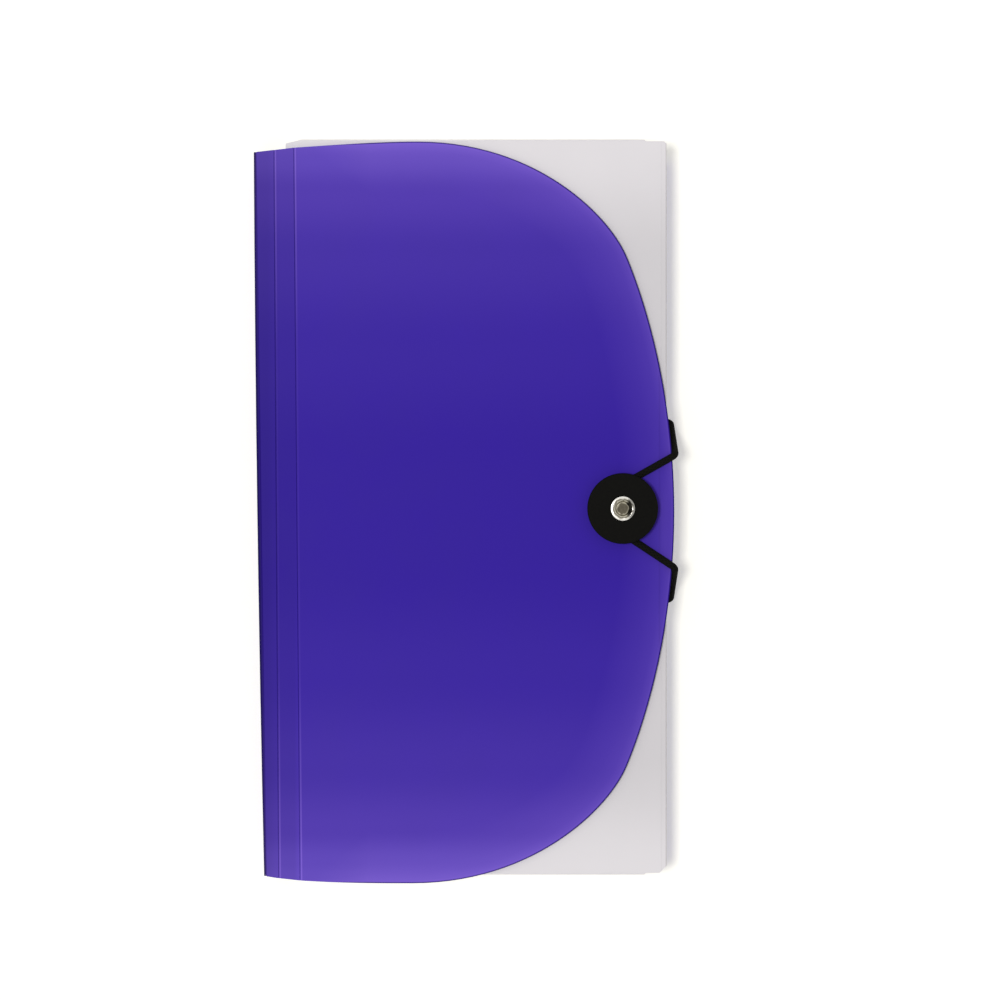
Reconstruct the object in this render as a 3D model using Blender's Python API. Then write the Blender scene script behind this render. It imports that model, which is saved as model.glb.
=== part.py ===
# Expanding file folder, cheque size, lying on its back cover. Metres, +Z up.
# +X runs from the spine to the tip of the flap, and +Y runs along the spine.
# Each sheet, pocket divider, pleat and fitting is its own object. The back cover is the fixed piece:
# the spine panel, two scored strips and the flap fold from it, the dividers and the front cover fan out,
# and the elastic cord swings off the button.

import math

import bmesh
import bpy
from mathutils import Vector

# Sheets and clearances
SHEET_WALL = 0.0007  # purple sheet: back cover, spine, strips and flap
COVER_WALL = 0.0006  # frosted front cover
FILM_WALL = 0.0003  # pocket dividers
PLEAT_WALL = 0.00025  # gusset film
FIT_GAP = 0.00025  # clearance between pieces that rest on each other
FOLD_GAP = 0.0003  # slit at each living fold
FOOT_GAP = 0.0001  # half the slit between two pleats at a divider

# Spine folds, measured from the spine fold at the middle of its length
SPINE_LEAN = math.radians(0.82)  # the creases are not quite square to the file
SCORE_1_LEAN = math.radians(0.38)
SCORE_2_LEAN = math.radians(0.5)
SCORE_1_X = 0.0062
SCORE_2_X = 0.0134

# Pockets
POCKETS = 13
DIVIDERS = POCKETS - 1
POCKET_GAP = 0.00096  # clear height of a closed pocket
POCKET_DEPTH = 0.1144  # mouth edge to bottom edge of a divider
POCKET_WIDTH = 0.2448
BODY_SHIFT = 0.00165  # the pockets sit a little off the flap's centre line
TAB_CLEARANCE = 0.0082  # spine fold to the tips of the index tabs
TAB_REACH = 0.0095  # how far an index tab stands out of the mouth edge
TAB_WIDTH = 0.0440
TAB_SLANT = 0.0040
TAB_PLACES = 4  # tabs repeat after this many dividers
TAB_END_MARGIN = 0.0124
LABEL_MARGIN = 0.0010
LABEL_SIDE_MARGIN = 0.0050
LABEL_WALL = 0.0002
LABEL_LENGTH = 0.0120
DIVIDER_HALF = POCKET_WIDTH / 2
MOUTH_X = TAB_CLEARANCE + TAB_REACH
DIVIDER_END_X = MOUTH_X + POCKET_DEPTH
TAB_SPAN = POCKET_WIDTH - TAB_WIDTH - 2 * TAB_SLANT - 2 * TAB_END_MARGIN
TAB_PITCH = TAB_SPAN / (TAB_PLACES - 1)
LABEL_WIDTH = TAB_WIDTH - 2 * LABEL_SIDE_MARGIN

# Pleated gusset round the two sides and the bottom
PLEAT_CORNER = 0.0035  # chamfer of dividers and pleats at the bottom corners
PLEAT_DEPTH = 0.0059
PLEAT_TIP = 0.0003  # height of the pleat's outer edge
PLEAT_NOSE = 0.0006  # depth of solid film behind that edge
PLEAT_MOUTH_X = 0.0092
RIDGE_X = DIVIDER_END_X + FIT_GAP + PLEAT_DEPTH
RIDGE_HALF = DIVIDER_HALF + FIT_GAP + PLEAT_DEPTH

# Back cover, whose lip leaves room inside for the cord's stops
STOP_RADIUS = 0.0009
STOP_LENGTH = 0.0090
STOP_ROOM = 0.0020  # stop to pleats
LIP_HEIGHT = 0.0063
BACK_INSET = 0.0010  # the back cover ends this far inside the pleats' ridges
BACK_CORNER = 0.0032  # its two far corners are cut off
BACK_REACH = RIDGE_X + STOP_ROOM + 2 * STOP_RADIUS + FIT_GAP + SHEET_WALL
BACK_HALF = RIDGE_HALF - BACK_INSET

# Front cover
COVER_MOUTH_X = 0.0140
COVER_SETBACK = 0.0006  # its bottom edge to the outside of the back cover's lip
COVER_INSET = 0.0007  # its sides lie this far inside the pleats' ridges
COVER_BEND = 0.0025  # outer radius where the bottom edge turns down
COVER_LIP = 0.0050
COVER_CHAMFER = 0.0025
COVER_BEND_STEPS = 6
COVER_END_X = BACK_REACH - COVER_SETBACK
COVER_HALF = RIDGE_HALF - COVER_INSET

# Flap
FLAP_OVERHANG = 0.0017  # flap tip to the outside of the back cover's lip
FLAP_OVERLAP = 0.0007  # its widest place to the pleats' ridges
FLAP_WIDE_SHARE = 0.371  # where the flap is widest, from spine to tip
SPINE_TAPER = 0.0034  # how much each end of the spine is shorter
FLAP_CORNER_INSET = 0.0167  # tip to where the side curve meets the end curve
FLAP_CORNER_SHARE = 0.688  # half-length there, as a share of the widest
FLAP_CORNER_ANGLE = math.radians(-67.0)
FLAP_SIDE_HANDLE_SHARE = 0.564  # Bezier handles, as shares of the curve's own run
FLAP_CORNER_HANDLE_SHARE = 0.395
FLAP_END_START_HANDLE_SHARE = 0.126
FLAP_END_HANDLE_SHARE = 0.511
FLAP_CURVE_STEPS = 18
FLAP_TAPER_STEPS = 4
FLAP_TAPER_POWER = 2.2
FLAP_REACH = BACK_REACH + FLAP_OVERHANG
FLAP_HALF = RIDGE_HALF + FLAP_OVERLAP
FLAP_WIDE_X = FLAP_REACH * FLAP_WIDE_SHARE
FLAP_CORNER_X = FLAP_REACH - FLAP_CORNER_INSET
FLAP_CORNER_Y = FLAP_HALF * FLAP_CORNER_SHARE

# Button
BUTTON_INSET = 0.0179  # flap tip to button
BUTTON_X = FLAP_REACH - BUTTON_INSET
BUTTON_Y = 0.00115
BUTTON_RADIUS = 0.0123
BUTTON_WALL = 0.0016
BUTTON_EDGE = 0.0004
SPACER_RADIUS = 0.0056
SPACER_HEIGHT = 0.0028
BARREL_RADIUS = 0.0029
FLANGE_RADIUS = 0.00425
FLANGE_HEIGHT = 0.0005
FLANGE_ROLL = 0.0009  # width of the rolled rim
RECESS_RADIUS = 0.00255
RECESS_DEPTH = 0.0013
WASHER_RADIUS = 0.0042
WASHER_WALL = 0.0003
ROUND_STEPS = 64
RIM_STEPS = 4

# Elastic cord
CORD_RADIUS = 0.00125
HUB_CLEARANCE = 0.0003  # cord to spacer
UPPER_CORNER_SPREAD = 0.01865  # from the button line to where a strand passes the flap's edge
LOWER_CORNER_SPREAD = 0.0207
UPPER_HOLE_SPREAD = 0.0305  # from the button line to a cord hole
LOWER_HOLE_SPREAD = 0.0323
HOLE_Z = 0.0033
HOLE_CLEARANCE = 0.0003
TOP_BEND = 0.0022
HOLE_BEND = 0.0016
BEND_STEPS = 6
HUB_STEPS = 12
OVERRUN = 0.0010  # cutters pass this far beyond what they cut



# Heights that follow from the stack


def leaf_bottom(number):
    """Underside of divider `number`; one past the last divider is the front cover."""
    return SHEET_WALL + number * POCKET_GAP + (number - 1) * FILM_WALL


COVER_BOTTOM = leaf_bottom(POCKETS)
COVER_TOP = COVER_BOTTOM + COVER_WALL
WASHER_BOTTOM = COVER_TOP + FIT_GAP
FLAP_BOTTOM = WASHER_BOTTOM + WASHER_WALL + FIT_GAP
FLAP_TOP = FLAP_BOTTOM + SHEET_WALL
SPACER_BOTTOM = FLAP_TOP + FIT_GAP
DISC_BOTTOM = SPACER_BOTTOM + SPACER_HEIGHT + FIT_GAP
FLANGE_BOTTOM = DISC_BOTTOM + BUTTON_WALL + FIT_GAP
CORD_Z = (FLAP_TOP + DISC_BOTTOM) / 2

PURPLE = (0.042, 0.021, 0.328)
FROST = (0.62, 0.61, 0.62)
BLACK = (0.008, 0.008, 0.009)
METAL = (0.80, 0.79, 0.76)
PAPER = (0.86, 0.85, 0.80)


# Helpers


def clear_scene():
    for old in list(bpy.data.objects):
        bpy.data.objects.remove(old, do_unlink=True)


def material(name, colour, roughness, metallic=0.0):
    made = bpy.data.materials.new(name)
    made.use_nodes = True
    shader = made.node_tree.nodes["Principled BSDF"]
    shader.inputs["Base Color"].default_value = (*colour, 1.0)
    shader.inputs["Roughness"].default_value = roughness
    shader.inputs["Metallic"].default_value = metallic
    made.diffuse_color = (*colour, 1.0)
    return made


def object_from(mesh_builder, name, colour, roughness, metallic=0.0):
    """Turns a bmesh into a named object with its own material, faces turned outward."""
    bmesh.ops.recalc_face_normals(mesh_builder, faces=mesh_builder.faces)
    mesh = bpy.data.meshes.new(name)
    mesh_builder.to_mesh(mesh)
    mesh_builder.free()
    made = bpy.data.objects.new(name, mesh)
    bpy.context.scene.collection.objects.link(made)
    mesh.materials.append(material(name, colour, roughness, metallic))
    return made


def loft(sections):
    """Closed solid through loops of equal length, with its two ends capped."""
    shape = bmesh.new()
    loops = [[shape.verts.new(point) for point in section] for section in sections]
    for near, far in zip(loops, loops[1:]):
        for index in range(len(near)):
            following = (index + 1) % len(near)
            shape.faces.new((near[index], near[following], far[following], far[index]))
    shape.faces.new(loops[0])
    shape.faces.new(loops[-1])
    return shape


def plate(outline, bottom, top):
    """Flat sheet with this outline in plan."""
    lower = [(x, y, bottom) for x, y in outline]
    upper = [(x, y, top) for x, y in outline]
    return loft([lower, upper])


def turned(profile, centre_x, centre_y):
    """Round solid from (radius, height) points that start and end on the axis, or close on themselves."""
    shape = bmesh.new()
    loops = []
    for radius, height in profile:
        if radius == 0:
            loops.append([shape.verts.new((centre_x, centre_y, height))])
            continue
        turn = [math.tau * step / ROUND_STEPS for step in range(ROUND_STEPS)]
        points = [
            (centre_x + radius * math.cos(a), centre_y + radius * math.sin(a), height)
            for a in turn
        ]
        loops.append([shape.verts.new(point) for point in points])
    pairs = list(zip(loops, loops[1:]))
    if profile[0][0] > 0:
        pairs.append((loops[-1], loops[0]))
    for near, far in pairs:
        for step in range(ROUND_STEPS):
            following = (step + 1) % ROUND_STEPS
            corners = [near[step % len(near)], near[following % len(near)]]
            corners += [far[following % len(far)], far[step % len(far)]]
            shape.faces.new(list(dict.fromkeys(corners)))
    return shape


def bezier(start, start_handle, end_handle, end, steps):
    """Points of a cubic Bezier curve, without its first point."""
    points = []
    for step in range(1, steps + 1):
        t = step / steps
        s = 1 - t
        points.append(
            s**3 * start + 3 * s * s * t * start_handle + 3 * s * t * t * end_handle + t**3 * end
        )
    return points


def rounded_route(corners, bends):
    """The corners of a route with each inner corner replaced by an arc of its bend radius."""
    points = [corners[0]]
    for before, corner, after, bend in zip(corners, corners[1:], corners[2:], bends):
        back = (before - corner).normalized()
        ahead = (after - corner).normalized()
        half = back.angle(ahead) / 2
        run = bend / math.tan(half)
        first = corner + back * run
        centre = corner + (back + ahead).normalized() * (bend / math.sin(half))
        swing = math.pi - 2 * half
        axis = (first - centre).cross(corner + ahead * run - centre).normalized()
        arm = first - centre
        side = axis.cross(arm)
        for step in range(BEND_STEPS + 1):
            angle = swing * step / BEND_STEPS
            points.append(centre + arm * math.cos(angle) + side * math.sin(angle))
    points.append(corners[-1])
    return points


def shade_round(made):
    made.data.shade_smooth()
    made.data.set_sharp_from_angle(angle=math.radians(35))


def cord(name, points, pivot):
    """Round cord through these points, with its origin on its joint axis."""
    curve = bpy.data.curves.new(name, "CURVE")
    curve.dimensions = "3D"
    curve.bevel_depth = CORD_RADIUS
    curve.bevel_resolution = 2
    curve.use_fill_caps = True
    line = curve.splines.new("POLY")
    line.points.add(len(points) - 1)
    for place, point in zip(line.points, points):
        place.co = (*(point - pivot), 1.0)
    made = bpy.data.objects.new(name, curve)
    made.location = pivot
    bpy.context.scene.collection.objects.link(made)
    curve.materials.append(material(name, BLACK, 0.75))
    return made


def cylinder_between(name, start, end, radius):
    """Plain round rod, used as a cutter and as the cord stops."""
    along = end - start
    shape = bmesh.new()
    bmesh.ops.create_cone(
        shape,
        cap_ends=True,
        segments=ROUND_STEPS // 2,
        radius1=radius,
        radius2=radius,
        depth=along.length,
    )
    turn = along.to_track_quat("Z", "Y")
    bmesh.ops.rotate(shape, verts=shape.verts, cent=Vector(), matrix=turn.to_matrix())
    bmesh.ops.translate(shape, verts=shape.verts, vec=(start + end) / 2)
    return object_from(shape, name, BLACK, 0.6)


def cut(target, cutter):
    cutter.hide_render = True
    cutter.display_type = "WIRE"
    boolean = target.modifiers.new(cutter.name, "BOOLEAN")
    boolean.operation = "DIFFERENCE"
    boolean.object = cutter


def put_origin(made, pivot):
    """Moves the object's origin onto its joint axis without moving its shape."""
    for corner in made.data.vertices:
        corner.co -= pivot
    made.location = pivot


# Fold lines


def fold_x(fold, lean, y):
    return fold - y * math.tan(lean)


def flap_half_at(x):
    """Half the length of the purple sheet between the spine and the flap's widest place."""
    away_share = (FLAP_WIDE_X - x) / FLAP_WIDE_X
    return FLAP_HALF - SPINE_TAPER * max(away_share, 0) ** FLAP_TAPER_POWER


def fold_ends(fold, lean, offset):
    """The two ends of a fold line moved by `offset` along X, +Y end first."""
    half = flap_half_at(fold)
    return [(fold_x(fold, lean, y) + offset, y) for y in (half, -half)]


def strip_between(first, second, bottom, top):
    """Sheet between two fold lines, each given as its two ends."""
    return plate([first[0], second[0], second[1], first[1]], bottom, top)


# Purple cover sheet


def hole_line(side):
    """How far along the lip a cord hole is."""
    return BUTTON_Y + (UPPER_HOLE_SPREAD if side > 0 else -LOWER_HOLE_SPREAD)


def make_back_cover():
    near = fold_ends(0, SPINE_LEAN, 0)
    sections = []
    for (near_x, near_y), side in zip(near, (1, -1)):
        far_y = side * BACK_HALF
        inside = BACK_REACH - SHEET_WALL
        sections.append(
            [
                (near_x, near_y, 0),
                (BACK_REACH, far_y, 0),
                (BACK_REACH, far_y, LIP_HEIGHT),
                (inside, far_y, LIP_HEIGHT),
                (inside, far_y, SHEET_WALL),
                (near_x, near_y, SHEET_WALL),
            ]
        )
    cover = object_from(loft(sections), "back_cover", PURPLE, 0.45)
    for side in (1, -1):
        start = Vector((BACK_REACH - SHEET_WALL - OVERRUN, hole_line(side), HOLE_Z))
        end = Vector((BACK_REACH + OVERRUN, start.y, HOLE_Z))
        hole = CORD_RADIUS + HOLE_CLEARANCE
        cut(cover, cylinder_between(f"cord_hole_cutter_{side}", start, end, hole))
        reach = BACK_CORNER + OVERRUN
        corner = [
            (BACK_REACH + OVERRUN, side * (BACK_HALF - reach)),
            (BACK_REACH + OVERRUN, side * (BACK_HALF + OVERRUN)),
            (BACK_REACH - reach, side * (BACK_HALF + OVERRUN)),
        ]
        wedge = plate(corner, -OVERRUN, LIP_HEIGHT + OVERRUN)
        cut(cover, object_from(wedge, f"corner_cutter_{side}", PURPLE, 0.45))


def make_spine_panel():
    outside = fold_ends(0, SPINE_LEAN, 0)
    inside = fold_ends(0, SPINE_LEAN, SHEET_WALL)
    shape = strip_between(outside, inside, SHEET_WALL + FOLD_GAP, FLAP_BOTTOM - FOLD_GAP)
    panel = object_from(shape, "spine_panel", PURPLE, 0.45)
    put_origin(panel, Vector((0, 0, 0)))


def make_hinge_strips():
    slit = FOLD_GAP / 2
    edges = [
        (fold_ends(0, SPINE_LEAN, 0), fold_ends(SCORE_1_X, SCORE_1_LEAN, -slit), 0),
        (
            fold_ends(SCORE_1_X, SCORE_1_LEAN, slit),
            fold_ends(SCORE_2_X, SCORE_2_LEAN, -slit),
            SCORE_1_X,
        ),
    ]
    for number, (first, second, pivot_x) in enumerate(edges, 1):
        shape = strip_between(first, second, FLAP_BOTTOM, FLAP_TOP)
        strip = object_from(shape, f"hinge_strip_{number}", PURPLE, 0.45)
        put_origin(strip, Vector((pivot_x, 0, FLAP_TOP)))


def flap_outline():
    """Flap in plan: a slow taper at the spine side, then a side curve and a long end curve, mirrored."""
    start = Vector((FLAP_WIDE_X, FLAP_HALF))
    corner = Vector((FLAP_CORNER_X, FLAP_CORNER_Y))
    tip = Vector((FLAP_REACH, 0))
    ahead = Vector((math.cos(FLAP_CORNER_ANGLE), math.sin(FLAP_CORNER_ANGLE)))
    along = Vector((1, 0))
    inward = Vector((0, 1))
    run = corner.x - start.x
    drop = start.y - corner.y
    side = bezier(
        start,
        start + along * run * FLAP_SIDE_HANDLE_SHARE,
        corner - ahead * drop * FLAP_CORNER_HANDLE_SHARE,
        corner,
        FLAP_CURVE_STEPS,
    )
    end = bezier(
        corner,
        corner + ahead * corner.y * FLAP_END_START_HANDLE_SHARE,
        tip + inward * corner.y * FLAP_END_HANDLE_SHARE,
        tip,
        FLAP_CURVE_STEPS,
    )
    upper = [start, *side, *end]
    for step in range(1, FLAP_TAPER_STEPS):
        x = FLAP_WIDE_X + (SCORE_2_X - FLAP_WIDE_X) * step / FLAP_TAPER_STEPS
        upper.insert(0, Vector((x, flap_half_at(x))))
    fold = fold_ends(SCORE_2_X, SCORE_2_LEAN, FOLD_GAP / 2)
    half = [(point.x, point.y) for point in upper]
    mirrored = [(x, -y) for x, y in reversed(half[:-1])]
    return [fold[0], *half, *mirrored, fold[1]]


def make_flap():
    flap = object_from(plate(flap_outline(), FLAP_BOTTOM, FLAP_TOP), "flap", PURPLE, 0.45)
    put_origin(flap, Vector((SCORE_2_X, 0, FLAP_TOP)))
    start = Vector((BUTTON_X, BUTTON_Y, FLAP_BOTTOM - OVERRUN))
    end = Vector((BUTTON_X, BUTTON_Y, FLAP_TOP + OVERRUN))
    cut(flap, cylinder_between("flap_hole_cutter", start, end, BARREL_RADIUS + FIT_GAP))


# Pockets


def fan_pivot(number):
    """Fold axis of pocket `number`: the outer edge of its bottom pleat, half way up the pocket."""
    if number == 1:
        below = SHEET_WALL
    else:
        below = leaf_bottom(number - 1) + FILM_WALL
    return Vector((RIDGE_X, 0, (below + leaf_bottom(number)) / 2))


def tab_centre(number):
    place = (number - 1) % TAB_PLACES
    return BODY_SHIFT + (place - (TAB_PLACES - 1) / 2) * TAB_PITCH


def divider_outline(number):
    top = BODY_SHIFT + DIVIDER_HALF
    bottom = BODY_SHIFT - DIVIDER_HALF
    end = DIVIDER_END_X
    centre = tab_centre(number)
    root = TAB_WIDTH / 2 + TAB_SLANT
    tab_end = MOUTH_X - TAB_REACH
    return [
        (MOUTH_X, top),
        (end - PLEAT_CORNER, top),
        (end, top - PLEAT_CORNER),
        (end, bottom + PLEAT_CORNER),
        (end - PLEAT_CORNER, bottom),
        (MOUTH_X, bottom),
        (MOUTH_X, centre - root),
        (tab_end, centre - TAB_WIDTH / 2),
        (tab_end, centre + TAB_WIDTH / 2),
        (MOUTH_X, centre + root),
    ]


def make_divider(number):
    bottom = leaf_bottom(number)
    shape = plate(divider_outline(number), bottom, bottom + FILM_WALL)
    divider = object_from(shape, f"divider_{number:02d}", FROST, 0.5)
    put_origin(divider, fan_pivot(number))


def make_tab_label(number):
    """Paper label lying on the index tab."""
    near = MOUTH_X - TAB_REACH + LABEL_MARGIN
    far = near + LABEL_LENGTH
    low = tab_centre(number) - LABEL_WIDTH / 2
    high = tab_centre(number) + LABEL_WIDTH / 2
    bottom = leaf_bottom(number) + FILM_WALL + FOOT_GAP
    outline = [(near, low), (far, low), (far, high), (near, high)]
    shape = plate(outline, bottom, bottom + LABEL_WALL)
    label = object_from(shape, f"tab_label_{number:02d}", PAPER, 0.8)
    put_origin(label, fan_pivot(number))


def pleat_profile(number):
    """V of one pleat as (distance outward, height) points."""
    if number == 1:
        low = SHEET_WALL + FOOT_GAP
    else:
        low = leaf_bottom(number - 1) + FILM_WALL / 2 + FOOT_GAP
    if number == POCKETS:
        high = COVER_BOTTOM - FOOT_GAP
    else:
        high = leaf_bottom(number) + FILM_WALL / 2 - FOOT_GAP
    middle = (low + high) / 2
    return [
        (0, low),
        (PLEAT_DEPTH, middle - PLEAT_TIP / 2),
        (PLEAT_DEPTH, middle + PLEAT_TIP / 2),
        (0, high),
        (0, high - PLEAT_WALL),
        (PLEAT_DEPTH - PLEAT_NOSE, middle),
        (0, low + PLEAT_WALL),
    ]


def pleat_station(profile, place):
    """The pleat's profile at one place of its U-shaped way round the pockets."""
    foot_x = DIVIDER_END_X + FIT_GAP
    foot_y = DIVIDER_HALF + FIT_GAP
    points = []
    for out, height in profile:
        ways = {
            "mouth": (PLEAT_MOUTH_X, foot_y + out),
            "side": (foot_x + out - PLEAT_CORNER, foot_y + out),
            "end": (foot_x + out, foot_y + out - PLEAT_CORNER),
        }
        x, y = ways[place]
        points.append(Vector((x, y, height)))
    return points


def make_gusset(number):
    profile = pleat_profile(number)
    one_side = [pleat_station(profile, place) for place in ("mouth", "side", "end")]
    shift = Vector((0, BODY_SHIFT, 0))
    first = [[point + shift for point in station] for station in one_side]
    other = [
        [Vector((point.x, -point.y, point.z)) + shift for point in station]
        for station in reversed(one_side)
    ]
    gusset = object_from(loft([*first, *other]), f"gusset_{number:02d}", FROST, 0.55)
    put_origin(gusset, fan_pivot(number))


def make_front_cover():
    """Frosted sheet whose bottom edge turns down, with both bottom corners cut off."""
    sections = []
    inner_bend = COVER_BEND - COVER_WALL
    places = [
        (COVER_HALF, COVER_CHAMFER),
        (COVER_HALF - COVER_CHAMFER, 0),
        (COVER_CHAMFER - COVER_HALF, 0),
        (-COVER_HALF, COVER_CHAMFER),
    ]
    for y, drawn_in in places:
        end = COVER_END_X - drawn_in
        turns = [math.pi / 2 * step / COVER_BEND_STEPS for step in range(COVER_BEND_STEPS + 1)]
        centre_x = end - COVER_BEND
        centre_z = COVER_TOP - COVER_BEND
        outer = [
            (centre_x + COVER_BEND * math.sin(a), centre_z + COVER_BEND * math.cos(a)) for a in turns
        ]
        inner = [
            (centre_x + inner_bend * math.sin(a), centre_z + inner_bend * math.cos(a))
            for a in reversed(turns)
        ]
        lip_end = COVER_TOP - COVER_LIP
        profile = [(COVER_MOUTH_X, COVER_TOP), *outer, (end, lip_end)]
        profile += [(end - COVER_WALL, lip_end), *inner, (COVER_MOUTH_X, COVER_BOTTOM)]
        sections.append([(x, y + BODY_SHIFT, z) for x, z in profile])
    cover = object_from(loft(sections), "front_cover", FROST, 0.5)
    put_origin(cover, fan_pivot(POCKETS))


# Button


def button_pivot():
    return Vector((BUTTON_X, BUTTON_Y, FLAP_TOP))


def ring_profile(inner, outer, bottom, top, edge):
    """Flat ring with its outer edges chamfered."""
    return [
        (inner, bottom),
        (outer - edge, bottom),
        (outer, bottom + edge),
        (outer, top - edge),
        (outer - edge, top),
        (inner, top),
    ]


def make_button():
    bore = BARREL_RADIUS + FIT_GAP
    disc_top = DISC_BOTTOM + BUTTON_WALL
    rings = {
        "button_disc": (BUTTON_RADIUS, DISC_BOTTOM, disc_top, BUTTON_EDGE, BLACK, 0.7, 0.0),
        "button_spacer": (
            SPACER_RADIUS,
            SPACER_BOTTOM,
            SPACER_BOTTOM + SPACER_HEIGHT,
            BUTTON_EDGE,
            BLACK,
            0.7,
            0.0,
        ),
        "eyelet_washer": (
            WASHER_RADIUS,
            WASHER_BOTTOM,
            WASHER_BOTTOM + WASHER_WALL,
            WASHER_WALL / 4,
            METAL,
            0.3,
            1.0,
        ),
    }
    for name, (outer, bottom, top, edge, colour, roughness, metallic) in rings.items():
        shape = turned(ring_profile(bore, outer, bottom, top, edge), BUTTON_X, BUTTON_Y)
        ring = object_from(shape, name, colour, roughness, metallic)
        shade_round(ring)
        put_origin(ring, button_pivot())


def make_eyelet():
    """Rivet with a rolled rim over the disc and a shallow cup in its middle."""
    top = FLANGE_BOTTOM + FLANGE_HEIGHT
    inside = FLANGE_RADIUS - FLANGE_ROLL
    profile = [(0, WASHER_BOTTOM), (BARREL_RADIUS, WASHER_BOTTOM), (BARREL_RADIUS, FLANGE_BOTTOM)]
    profile.append((FLANGE_RADIUS - FLANGE_HEIGHT / 2, FLANGE_BOTTOM))
    for step in range(1, RIM_STEPS + 1):
        angle = math.pi * (step / RIM_STEPS - 0.5)
        radius = FLANGE_RADIUS - FLANGE_HEIGHT / 2 + FLANGE_HEIGHT / 2 * math.cos(angle)
        height = FLANGE_BOTTOM + FLANGE_HEIGHT / 2 + FLANGE_HEIGHT / 2 * math.sin(angle)
        profile.append((radius, height))
    profile += [(inside, top), (RECESS_RADIUS, top - FLANGE_HEIGHT)]
    profile += [(RECESS_RADIUS, top - RECESS_DEPTH), (0, top - RECESS_DEPTH)]
    eyelet = object_from(turned(profile, BUTTON_X, BUTTON_Y), "eyelet", METAL, 0.25, 1.0)
    shade_round(eyelet)
    put_origin(eyelet, button_pivot())


# Elastic


def flap_edge_x(y):
    """Where the flap's edge is at this y, near its tip."""
    outline = flap_outline()
    for (x1, y1), (x2, y2) in zip(outline, outline[1:]):
        if y1 >= y > y2 and max(x1, x2) > FLAP_CORNER_X:
            return x1 + (x2 - x1) * (y1 - y) / (y1 - y2)
    return FLAP_REACH


def corner_place(side):
    """Where a strand turns down over the flap's edge, at cord height."""
    y = BUTTON_Y + (UPPER_CORNER_SPREAD if side > 0 else -LOWER_CORNER_SPREAD)
    return Vector((flap_edge_x(y) + CORD_RADIUS + FIT_GAP, y, CORD_Z))


def strand_points(side):
    """One strand from its hole in the back cover's lip, up past the flap's edge and on to the button."""
    start = Vector((BACK_REACH - SHEET_WALL, hole_line(side), HOLE_Z))
    turn = Vector((BACK_REACH + CORD_RADIUS + FIT_GAP, hole_line(side), HOLE_Z))
    corners = [start, turn, corner_place(side), hub_tangent(side)]
    return rounded_route(corners, [HOLE_BEND, TOP_BEND])


def hub_centre():
    return Vector((BUTTON_X, BUTTON_Y, CORD_Z))


def hub_path_radius():
    return SPACER_RADIUS + HUB_CLEARANCE + CORD_RADIUS


def hub_angle(side):
    """Angle at which a strand leaves the circle round the spacer."""
    away = corner_place(side) - hub_centre()
    return math.atan2(away.y, away.x) + side * math.acos(hub_path_radius() / away.length)


def hub_tangent(side):
    angle = hub_angle(side)
    around = Vector((math.cos(angle), math.sin(angle), 0))
    return hub_centre() + around * hub_path_radius()


def split_strand(side):
    """The strand's points below and above the flap's edge, with a slit between."""
    points = strand_points(side)
    below = points[: BEND_STEPS + 2]
    above = points[BEND_STEPS + 2 :]
    run = (above[0] - below[-1]).normalized()
    below.append(above[0] - run * FOLD_GAP)
    return below, above


def make_elastic():
    lower_a, upper_a = split_strand(1)
    lower_b, upper_b = split_strand(-1)
    hole_pivot = Vector((BACK_REACH + FIT_GAP, 0, HOLE_Z))
    edge_pivot = Vector(((upper_a[0].x + upper_b[0].x) / 2, 0, CORD_Z))
    cord("elastic_side_a", lower_a, hole_pivot)
    cord("elastic_side_b", lower_b, hole_pivot)
    first = hub_angle(1)
    last = math.tau + hub_angle(-1)
    round_hub = []
    for step in range(1, HUB_STEPS):
        angle = first + (last - first) * step / HUB_STEPS
        around = Vector((math.cos(angle), math.sin(angle), 0))
        round_hub.append(hub_centre() + around * hub_path_radius())
    cord("elastic_loop", [*upper_a, *round_hub, *reversed(upper_b)], edge_pivot)


def make_cord_stops():
    """Barbs that hold the cord's ends inside the lip."""
    for name, side in (("cord_stop_a", 1), ("cord_stop_b", -1)):
        x = BACK_REACH - SHEET_WALL - FIT_GAP - STOP_RADIUS
        y = hole_line(side)
        start = Vector((x, y - STOP_LENGTH / 2, HOLE_Z))
        end = Vector((x, y + STOP_LENGTH / 2, HOLE_Z))
        shade_round(cylinder_between(name, start, end, STOP_RADIUS))


def centre_on_ground():
    """Moves everything so that the middle of the model's box stands over the origin."""
    graph = bpy.context.evaluated_depsgraph_get()
    corners = []
    for made in bpy.data.objects:
        if made.hide_render:
            continue
        shown = made.evaluated_get(graph)
        mesh = shown.to_mesh()
        corners += [shown.matrix_world @ corner.co for corner in mesh.vertices]
        shown.to_mesh_clear()
    middle_x = (min(c.x for c in corners) + max(c.x for c in corners)) / 2
    middle_y = (min(c.y for c in corners) + max(c.y for c in corners)) / 2
    for made in bpy.data.objects:
        made.location -= Vector((middle_x, middle_y, 0))


def main():
    clear_scene()
    make_back_cover()
    make_spine_panel()
    make_hinge_strips()
    make_flap()
    for number in range(1, DIVIDERS + 1):
        make_divider(number)
        make_tab_label(number)
    for number in range(1, POCKETS + 1):
        make_gusset(number)
    make_front_cover()
    make_button()
    make_eyelet()
    make_elastic()
    make_cord_stops()
    bpy.context.view_layer.update()
    centre_on_ground()


main()
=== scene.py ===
# Expanding file folder of purple and frosted sheet plastic, held shut by an elastic that hooks round a button.
# It lies on its back cover and is seen from straight above. Metres: +X runs from the spine to the flap's tip,
# +Y along the spine and +Z up. Each section below makes one piece, or one group of like pieces.

import math

import bmesh
import bpy
from mathutils import Matrix, Vector


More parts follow.
